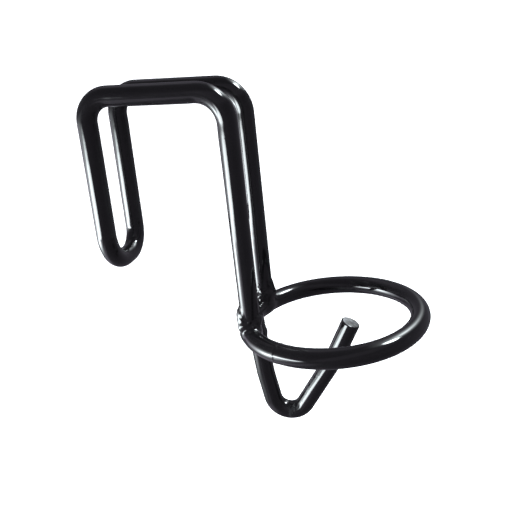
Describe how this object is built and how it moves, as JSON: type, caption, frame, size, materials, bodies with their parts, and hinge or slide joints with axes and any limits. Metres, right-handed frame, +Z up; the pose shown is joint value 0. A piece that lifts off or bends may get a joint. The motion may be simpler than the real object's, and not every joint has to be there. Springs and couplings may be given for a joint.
{
  "type": "hair dryer holder",
  "caption": "Bent and welded steel rod holder that hangs over an edge and takes a hair dryer in a level ring, with a hook rising into the ring.",
  "frame": {"origin": "the seat: midway between the two top runs of the hanger, on their underside, where the holder rests on its edge", "axes": "+X from the back legs towards the ring, +Y to the holder's left, +Z up with the holder hung"},
  "size_m": [0.1628, 0.0958, 0.1812],
  "materials": {
    "rod_coating": "gloss",
    "weld_coating": "gloss"
  },
  "bodies": {
    "root": {"hanger_rod": "rod_coating", "ring_rod": "rod_coating", "hook_rod": "rod_coating", "ring_seam_weld": "weld_coating", "right_leg_weld": "weld_coating", "left_leg_weld": "weld_coating", "hook_weld": "weld_coating"}
  },
  "joints": []
}
